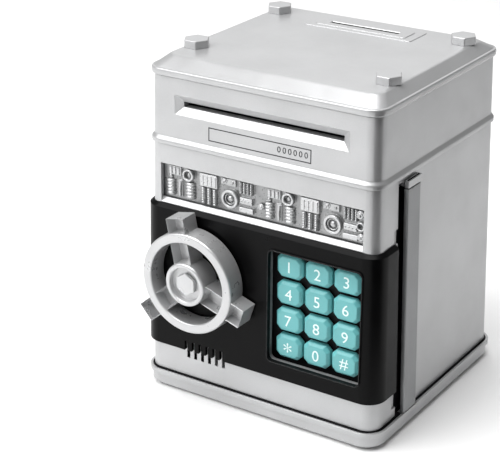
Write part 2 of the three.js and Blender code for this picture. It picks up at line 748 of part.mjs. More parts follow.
function hingeBar() {
  const outer = HINGE_X + KNUCKLE_R;
  const shape = new THREE.Shape();
  shape.moveTo(outer - 2.5, BAR_FRONT_Y);
  shape.lineTo(outer, BAR_FRONT_Y);
  shape.lineTo(outer, HINGE_Y);
  shape.absarc(HINGE_X, HINGE_Y, KNUCKLE_R, 0, Math.PI, false);
  shape.lineTo(HINGE_X - KNUCKLE_R, HINGE_Y - 4);
  shape.lineTo(outer - 2.5, HINGE_Y - 6);
  shape.closePath();
  const bores = [
    [BAR_Z[0] - 1, BAR_Z[0] + 5],
    [BAR_Z[1] - 5, BAR_Z[1] + 1],
  ].map((z) => column(new THREE.Shape().absarc(HINGE_X, HINGE_Y, PIN_BORE_R, 0, 2 * Math.PI), z));
  return piece("hinge_bar", cut(column(shape, BAR_Z), ...bores), grey);
}

function hingeLeaf() {
  const shape = outline([
    [61.8, -56],
    [64, -56],
    [64, HINGE_Y - 7.4],
    [HINGE_X - KNUCKLE_R - GAP, HINGE_Y - 5],
    [HINGE_X - KNUCKLE_R - GAP, HINGE_Y - 2.6],
    [61.8, HINGE_Y - 2.6],
  ]);
  return piece("hinge_leaf", column(shape, [BAR_Z[0] + 1, BAR_Z[1] - 1]), black);
}

function hingeBrackets() {
  const pin = new THREE.Shape().absarc(HINGE_X, HINGE_Y, PIN_R, 0, 2 * Math.PI);
  const outer = HINGE_X + KNUCKLE_R;
  const rectangle = (x0, x1, y0, y1) =>
    outline([
      [x0, y0],
      [x1, y0],
      [x1, y1],
      [x0, y1],
    ]);
  const rear = HINGE_Y + KNUCKLE_R;
  const cap = column(rectangle(HALF_X + GAP, outer, BAR_FRONT_Y + 0.4, rear), [BAR_Z[1] + 0.8, 137.2]);
  const hollow = column(rectangle(HALF_X + 0.9, outer - 0.6, BAR_FRONT_Y + 1.1, rear - 0.7), [134.4, 140]);
  const top = join(cut(cap, hollow), column(pin, [BAR_Z[1] - 4, BAR_Z[1] + 1.2]));
  const step = column(rectangle(HINGE_X - 2, HINGE_X + 1.3, BAR_FRONT_Y + 0.4, rear), [8, BAR_Z[0] - 0.5]);
  const bottom = join(step, column(pin, [9, BAR_Z[0] + 4]));
  return [piece("hinge_bracket_top", top, silver), piece("hinge_bracket_bottom", bottom, silver)];
}

// A tongue on the left wall that the latch cam turns in behind.
function latchStrike() {
  const wallX = -(HALF_X - WALL) - spread(WHEEL_Z) + GAP;
  const tongue = box([wallX, -56], [-43.2, -41], [WHEEL_Z - 9, WHEEL_Z + 9]);
  const foot = box([wallX, wallX + 2], [-43.2, -28], [WHEEL_Z - 9, WHEEL_Z + 9]);
  return piece("latch_strike", join(tongue, foot), steel);
}

// ---------------------------------------------------------------- wheel

function wheelHandle() {
  const [front, back] = [WHEEL_FRONT_Y, WHEEL_BACK_Y];
  const annulus = (near, far) => {
    const disc = rodY(WHEEL_R, [near, far], 0, 0, RING_SIDES);
    return cut(disc, rodY(WHEEL_R - RING_WIDE, [near - 1, far + 1], 0, 0, RING_SIDES));
  };
  const recess = rodY(HUB_R - 2.6, [front - 3, front + 1.6], 0, 0, 32);
  const hub = cut(rodY(HUB_R, [front - 1.5, back], 0, 0, 32), recess);
  const inner = HUB_R - 1.5;
  const half = SPOKE_WIDE / 2;
  const spokes = SPOKE_ANGLES.map((angle) => {
    const arm = box([inner, SPOKE_END_R], [front + 0.3, back], [-half, half]);
    const inside = [inner + 2, SPOKE_END_R - SPOKE_WALL];
    const channel = box(inside, [front - 1, front + 4.5], [-half + SPOKE_WALL, half - SPOKE_WALL]);
    const open = cut(channel, annulus(front - 2, back));
    const turned = geometryOf(cut(arm, open)).rotateY(-THREE.MathUtils.degToRad(angle));
    return solid(turned);
  });
  const bore = rodY(SHAFT_R + GAP, [front + 4, back + 1], 0, 0);
  return piece("wheel_handle", cut(join(annulus(front, back), hub, ...spokes), bore), bright);
}

function wheelParts() {
  const hex = rodY(6.2, [WHEEL_FRONT_Y - 0.6, WHEEL_FRONT_Y + 1.3], 0, 0, 6);
  const shaft = rodY(SHAFT_R, [WHEEL_FRONT_Y + 4.3, -38.6], 0, 0);
  const arm = join(rodY(7, [-40.4, -38.4], 0, 0), box([-4, 4], [-40.4, -38.4], [-14, 27]));
  const parts = [
    wheelHandle(),
    piece("wheel_hub_bolt", hex, bright),
    piece("wheel_shaft", shaft, steel),
    piece("latch_cam", cut(arm, rodY(SHAFT_R + GAP, [-50, -30], 0, 0)), steel),
  ];
  const wheel = new THREE.Group();
  wheel.position.set(WHEEL_X, 0, WHEEL_Z);
  wheel.add(...parts);
  return wheel;
}

// ---------------------------------------------------------------- assembly

const group = new THREE.Group();
group.add(
  baseTray(),
  basePlate(),
  batteryCover(),
  batteryCoverScrew(),
  ...batteryCells(),
  ...batteryContacts(),
  mainHousing(),
  upperHousing(),
  topLid(),
  ...lidBolts(),
  billSlotBezel(),
  feedPlatform(),
  ...billGuides(),
  billDeflector(),
  ...feedTrain(),
  feedMotor(),
  coinChute(),
  mainBoard(),
  doorShell(),
  fasciaPanel(),
  reliefPlate(),
  ...keys(),
  ...keypadStack(),
  doorBackCover(),
  speaker(),
  lockSolenoid(),
  lockPlunger(),
  hingeBar(),
  hingeLeaf(),
  ...hingeBrackets(),
  latchStrike(),
  wheelParts(),
);

export default group;
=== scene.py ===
import math

import bmesh
import bpy
from mathutils import Matrix, Vector


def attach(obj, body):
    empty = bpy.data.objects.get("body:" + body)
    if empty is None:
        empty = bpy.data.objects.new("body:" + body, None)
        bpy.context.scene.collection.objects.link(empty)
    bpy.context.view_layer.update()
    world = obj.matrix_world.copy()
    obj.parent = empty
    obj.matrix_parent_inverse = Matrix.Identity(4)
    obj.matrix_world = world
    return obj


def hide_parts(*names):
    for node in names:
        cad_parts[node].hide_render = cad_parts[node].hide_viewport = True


# Toy cash-machine bank. Mesh code works in millimetres, and finished meshes are scaled to metres.
# X right, -Y front, +Z up.

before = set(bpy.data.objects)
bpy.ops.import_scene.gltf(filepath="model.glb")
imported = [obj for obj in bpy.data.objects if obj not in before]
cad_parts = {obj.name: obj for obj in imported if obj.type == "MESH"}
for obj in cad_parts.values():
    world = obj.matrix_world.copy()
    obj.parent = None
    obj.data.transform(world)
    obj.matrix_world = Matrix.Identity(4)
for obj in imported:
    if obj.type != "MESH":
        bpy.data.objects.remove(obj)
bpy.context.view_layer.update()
MM = 0.001

# The same driving dimensions as the CAD part.
HALF_X, HALF_Y, CORNER = 66.6, 62.9, 7.5
DRAFT, DRAFT_TOP_Z = 3.42, 175.4
BEAD = 1.4
WALL = 2.2
PAD_X, PAD_Z = 34.9, 66.6  # middle of the keypad
WELL = (27.2, 31.0, 3.0)  # keypad well: half width, half height, corner
FASCIA = 2.3
WHEEL = (-34.0, 72.3)  # x, z
WHEEL_FRONT, WHEEL_REAR = -80.0, -68.4
SLOT = (46.5, 160.0, 162.7)  # bill slot: half width, bottom, top
BEZEL = (50.8, 155.9, 166.6)  # bill bezel: half width, bottom, top
COIN = (0.5, 38.5, 41.0, 2.8)  # coin slot: x, y, length, width
RIM_Z, BEAD_TOP_Z, PLATE_Z = 175.4, 179.0, 184.0  # levels of the lid
SEAM_Z = 139.5  # where the upper casing starts
LABEL_Z = 149.5
KEY_PITCH_X, KEY_PITCH_Z = 16.5, 14.8
KEY_BACK_Y, KEY_STEM_Y = -61.1, -57.5
BOLT_R, BOLT_TALL = 7.0, 4.15
HUB_BOLT_R = 6.2
LIP_INNER = (71.1, 67.4)  # half width and half depth inside the tray's lip
LIP_OUTER = (72.5, 68.8)
FOOT = (68.9, 65.2)


def spread(z):
    return DRAFT * (1 - z / DRAFT_TOP_Z)


def front_y(z, proud=0.0):
    return -(HALF_Y + spread(z) + proud)


# ------------------------------------------------------------------ camera, floor, light

AZ, EL, ROLL = map(math.radians, (33.63, 23.24, -0.24))
EYE = (0.38997, -0.65779, 0.40932)
SENSOR, LENS = 36, 111.53448
back = Vector((math.sin(AZ) * math.cos(EL), -math.cos(AZ) * math.cos(EL), math.sin(EL)))
side = Vector((0, 0, 1)).cross(back).normalized()
over = back.cross(side)
cam_x = math.cos(ROLL) * side + math.sin(ROLL) * over
cam_y = -math.sin(ROLL) * side + math.cos(ROLL) * over
camera = bpy.data.objects.new("camera", bpy.data.cameras.new("camera"))
camera.data.sensor_width, camera.data.lens = SENSOR, LENS
camera.data.clip_start, camera.data.clip_end = 0.05, 50
turned = Matrix((cam_x, cam_y, back)).transposed().to_4x4()
camera.matrix_world = Matrix.Translation(EYE) @ turned
bpy.context.scene.collection.objects.link(camera)
bpy.context.scene.camera = camera


def area_light(name, azimuth, elevation, distance, size, watts, aim=(0, 0, 0.09)):
    a, e = math.radians(azimuth), math.radians(elevation)
    away = Vector((math.sin(a) * math.cos(e), -math.cos(a) * math.cos(e), math.sin(e)))
    light = bpy.data.lights.new(name, "AREA")
    light.shape = "RECTANGLE"
    light.size, light.size_y = size
    light.energy = watts
    lamp = bpy.data.objects.new(name, light)
    lamp.location = Vector(aim) + away * distance
    lamp.rotation_mode = "QUATERNION"
    lamp.rotation_quaternion = (-away).to_track_quat("-Z", "Y")
    bpy.context.scene.collection.objects.link(lamp)


area_light("key", -36, 36, 1.5, (1.3, 1.0), 17)
area_light("back", 205, 34, 1.5, (1.3, 1.0), 3)
area_light("top", -20, 80, 1.4, (1.1, 1.1), 25)
bpy.context.scene.view_settings.view_transform = "Standard"


# ------------------------------------------------------------------ materials


def scaled(color, factor):
    return tuple(min(1.0, c * factor) for c in color)


class Nodes:
    """Short calls that add and link shader nodes."""

    def __init__(self, name):
        self.material = bpy.data.materials.new(name)
        self.material.use_nodes = True
        self.tree = self.material.node_tree
        self.shader = self.tree.nodes["Principled BSDF"]
        self.coordinates = self.add("ShaderNodeTexCoord").outputs["Object"]

    def add(self, kind, **settings):
        node = self.tree.nodes.new(kind)
        for key, value in settings.items():
            setattr(node, key, value)
        return node

    def link(self, output, target):
        self.tree.links.new(output, target)

    def noise(self, scale, detail=2.0, roughness=0.5, stretch=None):
        node = self.add("ShaderNodeTexNoise")
        node.inputs["Scale"].default_value = scale
        node.inputs["Detail"].default_value = detail
        node.inputs["Roughness"].default_value = roughness
        source = self.coordinates
        if stretch:
            mapping = self.add("ShaderNodeMapping")
            mapping.inputs["Scale"].default_value = stretch
            self.link(source, mapping.inputs["Vector"])
            source = mapping.outputs["Vector"]
        self.link(source, node.inputs["Vector"])
        return node.outputs["Fac"]

    def spread(self, value, low, high, start=0.3, end=0.7):
        node = self.add("ShaderNodeMapRange")
        node.inputs["From Min"].default_value = start
        node.inputs["From Max"].default_value = end
        node.inputs["To Min"].default_value = low
        node.inputs["To Max"].default_value = high
        self.link(value, node.inputs["Value"])
        return node.outputs["Result"]

    def maths(self, operation, a, b):
        node = self.add("ShaderNodeMath", operation=operation)
        for value, socket in ((a, node.inputs[0]), (b, node.inputs[1])):
            if isinstance(value, float):
                socket.default_value = value
            else:
                self.link(value, socket)
        return node.outputs[0]

    def mix(self, factor, a, b):
        node = self.add("ShaderNodeMix", data_type="RGBA")
        self.link(factor, node.inputs[0])
        for value, socket in ((a, node.inputs[6]), (b, node.inputs[7])):
            if isinstance(value, tuple):
                socket.default_value = (*value, 1)
            else:
                self.link(value, socket)
        return node.outputs[2]

    def edges(self, radius):
        """1 on tight edges and 0 on flats, from how far a rounded normal turns from the true one."""
        bevel = self.add("ShaderNodeBevel", samples=8)
        bevel.inputs["Radius"].default_value = radius
        geometry = self.add("ShaderNodeNewGeometry")
        dot = self.add("ShaderNodeVectorMath", operation="DOT_PRODUCT")
        self.link(bevel.outputs["Normal"], dot.inputs[0])
        self.link(geometry.outputs["Normal"], dot.inputs[1])
        return bevel.outputs["Normal"], self.spread(dot.outputs["Value"], 1.0, 0.0, 0.8, 0.995)

    def bump(self, height, distance, strength=1.0, normal=None):
        node = self.add("ShaderNodeBump")
        node.inputs["Strength"].default_value = strength
        node.inputs["Distance"].default_value = distance
        self.link(height, node.inputs["Height"])
        if normal is not None:
            self.link(normal, node.inputs["Normal"])
        self.link(node.outputs["Normal"], self.shader.inputs["Normal"])

    def set(self, **values):
        for key, value in values.items():
            self.shader.inputs[key.replace("_", " ")].default_value = value


def coated(
    name, color, metallic, roughness, wear_and_highlight, grain=5200.0, grain_depth=0.000006, edge=0.0004, specular=0.5
):
    """Moulded plastic, painted or bare: broad colour drift, fine grain, uneven gloss, and a lighter edge
    colour that is partly rub wear and partly a painted highlight.
    """
    n = Nodes(name)
    drift = n.spread(n.noise(28, 3), 0.95, 1.05)
    fleck = n.spread(n.noise(grain, 1), 0.94, 1.06)
    tone = n.maths("MULTIPLY", drift, fleck)
    base = n.mix(n.spread(tone, 0.0, 1.0, 0.85, 1.15), scaled(color, 0.86), scaled(color, 1.14))
    rounded, mask = n.edges(edge)
    # Edge mask with noise. The lighter edge colour it lays on is rub wear, and also a painted highlight along
    # the edges.
    rub_and_highlight = n.maths("MULTIPLY", mask, n.spread(n.noise(420, 3), 0.15, 1.0, 0.35, 0.65))
    n.link(n.mix(rub_and_highlight, base, wear_and_highlight), n.shader.inputs["Base Color"])
    smudge = n.spread(n.noise(75, 4, 0.6), roughness - 0.05, roughness + 0.06)
    n.link(n.maths("ADD", smudge, n.spread(rub_and_highlight, 0.0, -0.06, 0.0, 1.0)), n.shader.inputs["Roughness"])
    n.bump(n.noise(grain, 1), grain_depth, 0.5, rounded)
    n.set(Metallic=metallic, Specular_IOR_Level=specular)
    return n.material


def brushed(name, color, roughness, stretch):
    """Bright metal with fine lines along one axis."""
    n = Nodes(name)
    lines = n.noise(1.0, 2, 0.6, stretch)
    n.link(n.mix(n.spread(lines, 0.0, 1.0), scaled(color, 0.8), color), n.shader.inputs["Base Color"])
    n.link(n.spread(lines, roughness + 0.08, roughness - 0.05), n.shader.inputs["Roughness"])
    n.bump(lines, 0.00001, 0.4)
    n.set(Metallic=1.0)
    return n.material


def relief_paint(name, color):
    """Silver paint over fine castings, with painted shade darkening the low parts and lighter edges that are
    partly a painted highlight and partly rub wear.
    """
    n = Nodes(name)
    separate = n.add("ShaderNodeSeparateXYZ")
    n.link(n.coordinates, separate.inputs["Vector"])
    low = n.spread(separate.outputs["Y"], 0.0, 1.0, -0.0630, -0.0606)
    rounded, mask = n.edges(0.0003)
    # Painted shade: the parts further back in the relief are painted darker, with a little noise.
    recess_shade = n.maths("MULTIPLY", low, n.spread(n.noise(300, 2), 0.8, 1.0))
    recess_shaded = n.mix(recess_shade, color, scaled(color, 0.36))
    # Edges painted lighter: a painted highlight, partly rub wear.
    n.link(n.mix(mask, recess_shaded, scaled(color, 1.18)), n.shader.inputs["Base Color"])
    n.link(n.spread(n.noise(900, 2), 0.26, 0.34), n.shader.inputs["Roughness"])
    n.bump(n.noise(5200, 1), 0.000003, 0.3, rounded)
    n.set(Metallic=0.7)
    return n.material


def circuit(name):
    """Green solder mask with pale track lines."""
    n = Nodes(name)
    brick = n.add("ShaderNodeTexBrick")
    brick.inputs["Scale"].default_value = 160
    brick.inputs["Mortar Size"].default_value = 0.03
    brick.inputs["Color1"].default_value = (0.012, 0.13, 0.045, 1)
    brick.inputs["Color2"].default_value = (0.016, 0.16, 0.055, 1)
    brick.inputs["Mortar"].default_value = (0.05, 0.3, 0.12, 1)
    n.link(n.coordinates, brick.inputs["Vector"])
    n.link(brick.outputs["Color"], n.shader.inputs["Base Color"])
    n.link(n.spread(n.noise(300, 3), 0.25, 0.45), n.shader.inputs["Roughness"])
    n.bump(brick.outputs["Fac"], 0.00003, 0.4)
    return n.material


def cell_wrap(name):
    """A printed battery wrap: a dark body with a copper-coloured end."""
    n = Nodes(name)
    separate = n.add("ShaderNodeSeparateXYZ")
    n.link(n.coordinates, separate.inputs["Vector"])
    end = n.spread(separate.outputs["X"], 0.0, 1.0, 0.0105, 0.0107)
    n.link(n.mix(end, (0.03, 0.05, 0.09), (0.52, 0.26, 0.1)), n.shader.inputs["Base Color"])
    n.link(n.spread(n.noise(500, 3), 0.2, 0.34), n.shader.inputs["Roughness"])
    n.bump(n.noise(900, 2), 0.00001, 0.3)
    n.set(Metallic=0.4)
    return n.material


def printed(name, color, roughness=0.5):
    """Flat printed ink with a slightly uneven edge tone."""
    n = Nodes(name)
    tone = n.spread(n.noise(2500, 2), 0.0, 1.0)
    n.link(n.mix(tone, scaled(color, 0.86), color), n.shader.inputs["Base Color"])
    n.link(n.spread(n.noise(700, 2), roughness - 0.06, roughness + 0.06), n.shader.inputs["Roughness"])
    n.bump(n.noise(4000, 1), 0.000004, 0.3)
    return n.material


silver = coated("silver paint", (0.46, 0.463, 0.468), 0.55, 0.34, (0.6, 0.6, 0.61))
plate_silver = coated(
    "silver paint, unworn", (0.46, 0.463, 0.468), 0.55, 0.36, (0.48, 0.483, 0.488), edge=0.0002
)
bright = coated("bright silver paint", (0.52, 0.523, 0.528), 0.55, 0.3, (0.66, 0.66, 0.67), edge=0.0003)
black = coated(
    "black moulding", (0.0018, 0.0018, 0.002), 0.0, 0.32, (0.02, 0.02, 0.022), 3800.0, 0.000012,
    specular=0.09,
)
inner_black = coated(
    "inner black moulding", (0.008, 0.008, 0.009), 0.0, 0.5, (0.03, 0.03, 0.032), 2600.0, 0.00002,
    specular=0.2,
)
# The bar's wide, much lighter edge colour is a painted highlight line along its edges.
hinge_grey = coated(
    "grey moulding", (0.25, 0.255, 0.26), 0.4, 0.36, (0.75, 0.75, 0.76), 3800.0, 0.00001, edge=0.0009
)
cover_grey = coated("cover moulding", (0.3, 0.305, 0.31), 0.0, 0.5, (0.45, 0.45, 0.46), 2600.0, 0.00002)
# Near-black moulding whose much lighter edge colour is a painted highlight line.
rim_grey = coated(
    "rim moulding", (0.006, 0.0062, 0.0066), 0.0, 0.34, (0.3, 0.3, 0.3), 3800.0, 0.000012, 0.0002, 0.2
)
aqua = coated(
    "aqua moulding", (0.125, 0.41, 0.42), 0.0, 0.34, (0.24, 0.55, 0.53), 3200.0, 0.00001, edge=0.0005
)
rubber = coated("rubber", (0.02, 0.02, 0.02), 0.0, 0.75, (0.05, 0.05, 0.05), 1800.0, 0.00003)
nylon = coated("nylon", (0.74, 0.72, 0.65), 0.0, 0.42, (0.85, 0.83, 0.78), 2400.0, 0.00001)
steel = brushed("bright steel", (0.62, 0.63, 0.64), 0.26, (60, 900, 900))
relief_silver = relief_paint("relief paint", (0.52, 0.525, 0.53))
board_green = circuit("circuit board")
cells = cell_wrap("battery wrap")
digit_white = printed("digit ink", (0.8, 0.93, 0.92))
label_black = printed("label ink", (0.02, 0.02, 0.022))


def floor_material():
    n = Nodes("floor")
    tone = n.mix(n.spread(n.noise(6, 4), 0.0, 1.0), (0.88, 0.88, 0.88), (0.91, 0.91, 0.91))
    n.link(tone, n.shader.inputs["Base Color"])
    n.link(n.spread(n.noise(40, 3), 0.5, 0.62), n.shader.inputs["Roughness"])
    n.bump(n.noise(900, 2), 0.00002, 0.2)
    return n.material


# ------------------------------------------------------------------ mesh helpers


def ring_points(half_a, half_b, radius, steps=8):
    """A rounded rectangle about the origin, as a closed run of 2-D points."""
    radius = max(radius, 0.01)
    points = []
    for quarter, (sa, sb) in enumerate(((1, 1), (-1, 1), (-1, -1), (1, -1))):
        for i in range(steps + 1):
            angle = math.pi / 2 * (quarter + i / steps)
            a = sa * (half_a - radius) + radius * math.cos(angle)
            b = sb * (half_b - radius) + radius * math.sin(angle)
            points.append((a, b))
    return points


def rounded_run(points, steps=5, closed=False):
    """A run of points, each (numbers..., fillet), whose corners are rounded by their fillet lengths."""
    made = []
    count = len(points)
    for i, point in enumerate(points):
        here, fillet = Vector(point[:-1]), point[-1]
        if fillet <= 0 or (not closed and i in (0, count - 1)):
            made.append(here)
            continue
        before, after = Vector(points[i - 1][:-1]), Vector(points[(i + 1) % count][:-1])
        to_before, to_after = before - here, after - here
        start = here + to_before * min(0.48, fillet / max(to_before.length, 1e-6))
        end = here + to_after * min(0.48, fillet / max(to_after.length, 1e-6))
        for k in range(steps + 1):
            t = k / steps
            made.append(start * (1 - t) ** 2 + here * 2 * t * (1 - t) + end * t**2)
    return made


def skin(bm, loops, closed=False):
    """Joins closed loops of 3-D points with quads, with end caps unless the last loop meets the first."""
    rows = [[bm.verts.new(p) for p in loop] for loop in loops]
    pairs = list(zip(rows, rows[1:])) + ([(rows[-1], rows[0])] if closed else [])
    for low, high in pairs:
        for i in range(len(low)):
            j = (i + 1) % len(low)
            bm.faces.new((low[i], low[j], high[j], high[i]))
    if not closed:
        bm.faces.new(list(reversed(rows[0])))
        bm.faces.new(rows[-1])
    return rows


def loft_up(bm, sections, steps=8, centre=(0, 0), closed=False):
    """Rounded rectangles (half x, half y, corner, z), stacked along Z."""
    loops = []
    for *outline, z in sections:
        loops.append([(centre[0] + a, centre[1] + b, z) for a, b in ring_points(*outline, steps)])
    return skin(bm, loops, closed)


def loft_back(bm, sections, steps=6, centre=(0, 0), closed=False):
    """Rounded rectangles (half x, half z, corner, y), stacked along Y."""
    loops = []
    for *outline, y in sections:
        loops.append([(centre[0] + a, y, centre[1] + b) for a, b in ring_points(*outline, steps)])
    return skin(bm, loops, closed)


def round_edges(bm, rows, radius):
    """Rounds the edges round a prism's last row of vertices, and those that run up to it."""
    top = set(rows[-1])
    edges = [e for e in bm.edges if e.verts[0] in top or e.verts[1] in top]
    bmesh.ops.bevel(bm, geom=edges, offset=radius, segments=3, profile=0.5, affect="EDGES")


def lathe(bm, profile, centre, steps=96, axis="Y", squash=1.0):
    """A closed profile of (radius, along) turned about an axis through the centre."""
    x, y, z = centre
    loops = []
    for i in range(steps):
        c, s = math.cos(2 * math.pi * i / steps), math.sin(2 * math.pi * i / steps)
        if axis == "Y":
            loops.append([(x + r * c, y + along, z + r * s) for r, along in profile])
        else:
            loops.append([(x + r * c, y + squash * r * s, z + along) for r, along in profile])
    return skin(bm, loops, closed=True)


def block(bm, low, high, bevel=0.0, segments=2):
    """A box between two corners, with rounded edges."""
    made = bmesh.ops.create_cube(bm, size=1)["verts"]
    centre, size = (Vector(low) + Vector(high)) / 2, Vector(high) - Vector(low)
    for v in made:
        v.co = Vector([v.co[i] * size[i] + centre[i] for i in range(3)])
    if bevel:
        edges = list({e for v in made for e in v.link_edges})
        bmesh.ops.bevel(bm, geom=edges, offset=bevel, segments=segments, profile=0.5, affect="EDGES")


def finish_mesh(bm, name, mats, body, nodes=(), angle=32, weld=1e-4):
    """Turns millimetre mesh data into a shown piece that rides on a CAD body."""
    bmesh.ops.remove_doubles(bm, verts=bm.verts, dist=weld)
    bmesh.ops.recalc_face_normals(bm, faces=bm.faces)
    for face in bm.faces:
        face.smooth = True
    for edge in bm.edges:
        edge.smooth = len(edge.link_faces) == 2 and edge.calc_face_angle(0) < math.radians(angle)
    mesh = bpy.data.meshes.new(name)
    bm.transform(Matrix.Scale(MM, 4))
    bm.to_mesh(mesh)
    bm.free()
    for m in mats:
        mesh.materials.append(m)
    piece = bpy.data.objects.new(name, mesh)
    bpy.context.scene.collection.objects.link(piece)
    normals = piece.modifiers.new("normals", "WEIGHTED_NORMAL")
    normals.keep_sharp = True
    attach(piece, body)
    if nodes:
        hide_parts(*nodes)
    return piece


def combine(piece, build, operation):
    """Joins to a piece, or takes from it, the solid that build draws in millimetres."""
    bm = bmesh.new()
    build(bm)
    bmesh.ops.recalc_face_normals(bm, faces=bm.faces)
    bm.transform(Matrix.Scale(MM, 4))
    mesh = bpy.data.meshes.new("cutter")
    bm.to_mesh(mesh)
    bm.free()
    tool = bpy.data.objects.new("cutter", mesh)
    bpy.context.scene.collection.objects.link(tool)
    boolean = piece.modifiers.new("cut", "BOOLEAN")
    boolean.operation, boolean.object, boolean.solver = operation, tool, "EXACT"
    boolean.use_self = True
    piece.modifiers.move(len(piece.modifiers) - 1, 0)
    normals = piece.modifiers["normals"]
    normals.show_viewport = normals.show_render = False
    bpy.context.view_layer.update()
    made = bpy.data.meshes.new_from_object(piece.evaluated_get(bpy.context.evaluated_depsgraph_get()))
    piece.modifiers.remove(boolean)
    normals.show_viewport = normals.show_render = True
    piece.data = made
    bpy.data.objects.remove(tool)
    bm = bmesh.new()
    bm.from_mesh(made)
    for edge in bm.edges:
        edge.smooth = len(edge.link_faces) == 2 and edge.calc_face_angle(0) < math.radians(32)
    for face in bm.faces:
        face.smooth = True
    bm.to_mesh(made)
    bm.free()


def cut(piece, build):
    combine(piece, build, "DIFFERENCE")


def cad_copy(node, merged=True):
    """A CAD node's mesh in millimetres, welded and, where wanted, with its flat triangles merged."""
    bm = bmesh.new()
    bm.from_mesh(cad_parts[node].data)
    bm.transform(Matrix.Scale(1 / MM, 4))
    bmesh.ops.remove_doubles(bm, verts=bm.verts, dist=2e-3)
    if merged:
        flat = math.radians(0.7)
        bmesh.ops.dissolve_limit(bm, angle_limit=flat, verts=bm.verts, edges=bm.edges, delimit=set())
    return bm


def soften(node, body, mat, rules):
    """Stands for a CAD node with the same shape, whose edges are rounded.

    Rules are pairs: a test of an edge's two ends, and the radius of the edges that pass it.
    """
    bm = cad_copy(node, bool(rules))
    for test, radius in rules:
        sharp = [e for e in bm.edges if len(e.link_faces) == 2 and e.calc_face_angle(0) > math.radians(28)]
        edges = [e for e in sharp if test(e.verts[0].co, e.verts[1].co)]
        if edges:
            bmesh.ops.bevel(
                bm, geom=edges, offset=radius, segments=3, profile=0.5, affect="EDGES",
                clamp_overlap=True, loop_slide=True,
            )
    return finish_mesh(bm, node + "_look", [mat], body, [node])


def paint_faces(piece, mat, test):
    """Gives one more material to the faces that pass a test of their middle, in millimetres, and the face."""
    piece.data.materials.append(mat)
    index = len(piece.data.materials) - 1
    for face in piece.data.polygons:
        if test(face.center / MM, face):
            face.material_index = index


def glyphs(bm, text, size, centre, y, deep=0.06, material_index=0):
    """Flat printed characters that face the front, centred on (x, z)."""
    curve = bpy.data.curves.new("glyph", "FONT")
    curve.body, curve.size, curve.extrude = text, size, deep / 2
    curve.resolution_u = 4
    source = bpy.data.objects.new("glyph", curve)
    bpy.context.scene.collection.objects.link(source)
    bpy.context.view_layer.update()
    mesh = bpy.data.meshes.new_from_object(source.evaluated_get(bpy.context.evaluated_depsgraph_get()))
    bpy.data.objects.remove(source)
    xs, ys = [v.co.x for v in mesh.vertices], [v.co.y for v in mesh.vertices]
    middle = Vector(((min(xs) + max(xs)) / 2, (min(ys) + max(ys)) / 2, 0))
    for v in mesh.vertices:
        p = v.co - middle
        v.co = Vector((centre[0] + p.x, y - p.z, centre[1] + p.y))
    for polygon in mesh.polygons:
        polygon.material_index = material_index
    bm.from_mesh(mesh)
    bpy.data.meshes.remove(mesh)


# ------------------------------------------------------------------ lid


def top_lid():
    bm = bmesh.new()
    rows = rounded_run([
        (59.2, 52.1, 5.0, 181.8, 0),
        (HALF_X - WALL, HALF_Y - WALL, 5.3, RIM_Z, 0),
        (HALF_X + BEAD, HALF_Y + BEAD, CORNER + BEAD, RIM_Z, 1.3),
        (HALF_X + BEAD, HALF_Y + BEAD, CORNER + BEAD, BEAD_TOP_Z, 1.5),
        (HALF_X + 0.1, HALF_Y + 0.1, CORNER, BEAD_TOP_Z + 0.1, 0.25),
        (61.2, 54.1, 6.2, PLATE_Z, 1.7),
        (40.0, 40.0, 5.0, PLATE_Z, 0),
    ], 6)
    loft_up(bm, rows, 10)
    for half_x, half_y, tall in ((32, 9.6, 0.35), (27, 6.2, 0.7)):
        frame_rows = rounded_run([
            (half_x, half_y, 1.5, PLATE_Z - 0.3, 0),
            (half_x, half_y, 1.5, PLATE_Z + tall, 0.3),
            (half_x - 3, half_y - 3, 0.6, PLATE_Z + tall, 0),
        ])
        loft_up(bm, frame_rows, 5, (COIN[0], COIN[1]))
    piece = finish_mesh(bm, "lid_look", [silver], "casing", ["top_lid"])
    half_x, half_y = COIN[2] / 2, COIN[3] / 2

    def slot(b):
        sections = [
            (half_x, half_y, 0.5, 170),
            (half_x, half_y, 0.5, 184.25),
            (half_x + 0.5, half_y + 0.5, 0.9, 184.9),
        ]
        loft_up(b, sections, 4, (COIN[0], COIN[1]))

    def slot_wall(c, face):
        inside = abs(c.x - COIN[0]) < half_x + 0.1 and abs(c.y - COIN[1]) < half_y + 0.1
        return inside and c.z < PLATE_Z + 0.2 and abs(face.normal.z) < 0.5

    def frames(c, face):
        return abs(c.x - COIN[0]) < 33 and abs(c.y - COIN[1]) < 10.5 and c.z > PLATE_Z + 0.02

    cut(piece, slot)
    paint_faces(piece, plate_silver, frames)
    paint_faces(piece, inner_black, slot_wall)


def hexagon(a, b, radius, turn):
    """A hexagon's corners about (a, b), turned by a share of a sixth of a turn."""
    angles = [math.pi / 3 * (i + turn) for i in range(6)]
    return [(a + radius * math.cos(angle), b + radius * math.sin(angle)) for angle in angles]


def lid_bolts():
    for node, (x, y) in {
        "lid_bolt_front_left": (-55.8, -36),
        "lid_bolt_front_right": (55.8, -36),
        "lid_bolt_back_left": (-55.8, 43),
        "lid_bolt_back_right": (55.8, 43),
    }.items():
        bm = bmesh.new()
        z = PLATE_Z + 0.05
        corners = hexagon(x, y, BOLT_R, 0)
        rows = skin(bm, [[(px, py, level) for px, py in corners] for level in (z, z + BOLT_TALL)])
        round_edges(bm, rows, 0.5)
        finish_mesh(bm, node + "_look", [silver], "casing", [node])


# ------------------------------------------------------------------ upper casing and bill slot


def wall_rows(points):
    """Casing sections from (proud, z, fillet) points."""
    rows = []
    for proud, z, fillet in points:
        out = proud + spread(z)
        rows.append((HALF_X + out, HALF_Y + out, CORNER + proud, z, fillet))
    return rounded_run(rows)


def lean(bm, level):
    """Leans front pieces with the drafted wall, keeping them in place at one level."""
    for v in bm.verts:
        v.co.y -= spread(v.co.z) - spread(level)


